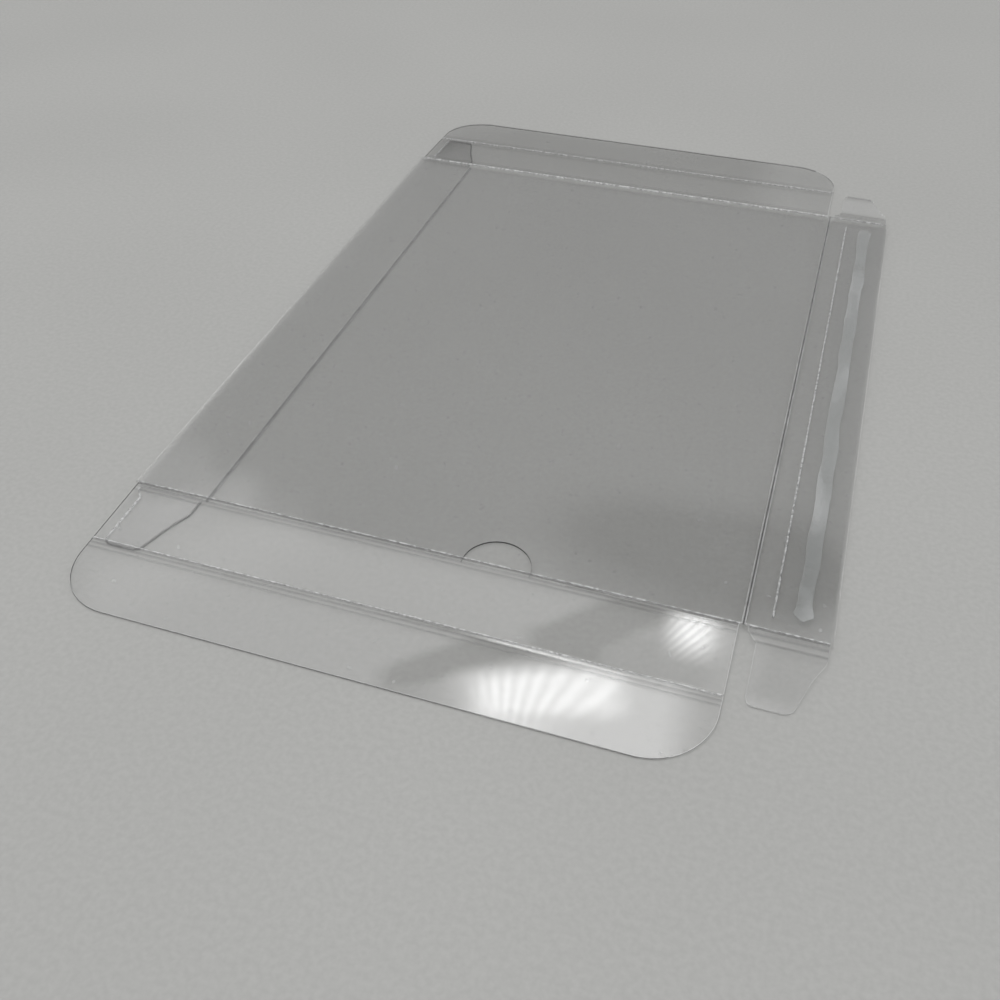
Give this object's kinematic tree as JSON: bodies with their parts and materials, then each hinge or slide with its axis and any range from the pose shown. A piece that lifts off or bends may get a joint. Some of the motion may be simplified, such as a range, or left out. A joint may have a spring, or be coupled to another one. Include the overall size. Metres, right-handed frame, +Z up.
{
  "type": "clear film folding box",
  "caption": "Clear plastic film folding box for a slim case, flat-packed, with hinged end lids, round-cornered tuck flaps, dust flaps and a thumb notch.",
  "frame": {"origin": "on the surface that the flat box lies on, under the middle of its outline with both end lids open", "axes": "+X across the panels towards the glued seam, +Y along the body from the thumb-notch end to the far end, +Z up from the surface"},
  "size_m": [0.1202, 0.194, 0.0013],
  "materials": {
    "film": "clear extruded PET film, glossy both sides",
    "glue": "clear glossy bead of seam glue"
  },
  "bodies": {
    "box_body": {"sleeve": "film", "seam_glue": "glue"},
    "front_lid": {"front_lid": "film"},
    "front_tuck": {"front_tuck": "film"},
    "rear_lid": {"rear_lid": "film"},
    "rear_tuck": {"rear_tuck": "film"},
    "front_dust_flap": {"front_dust_flap": "film"},
    "rear_dust_flap": {"rear_dust_flap": "film"}
  },
  "joints": [
    {"name": "front_lid_hinge", "type": "hinge", "parent": "box_body", "child": "front_lid", "pos_m": [-0.0069, -0.06905, 0.0013], "axis": [-1, 0, 0], "range_deg": [0, 120]},
    {"name": "front_tuck_hinge", "type": "hinge", "parent": "front_lid", "child": "front_tuck", "pos_m": [-0.0069, -0.08324, 0.00081], "axis": [-1, 0, 0], "range_deg": [0, 90]},
    {"name": "rear_lid_hinge", "type": "hinge", "parent": "box_body", "child": "rear_lid", "pos_m": [-0.0069, 0.06905, 0.0013], "axis": [1, 0, 0], "range_deg": [0, 120]},
    {"name": "rear_tuck_hinge", "type": "hinge", "parent": "rear_lid", "child": "rear_tuck", "pos_m": [-0.0069, 0.08324, 0.00081], "axis": [1, 0, 0], "range_deg": [0, 90]},
    {"name": "front_dust_hinge", "type": "hinge", "parent": "box_body", "child": "front_dust_flap", "pos_m": [0.05325, -0.06905, 0.0013], "axis": [-1, 0, 0], "range_deg": [0, 120]},
    {"name": "rear_dust_hinge", "type": "hinge", "parent": "box_body", "child": "rear_dust_flap", "pos_m": [0.05325, 0.06905, 0.0013], "axis": [1, 0, 0], "range_deg": [0, 120]}
  ]
}
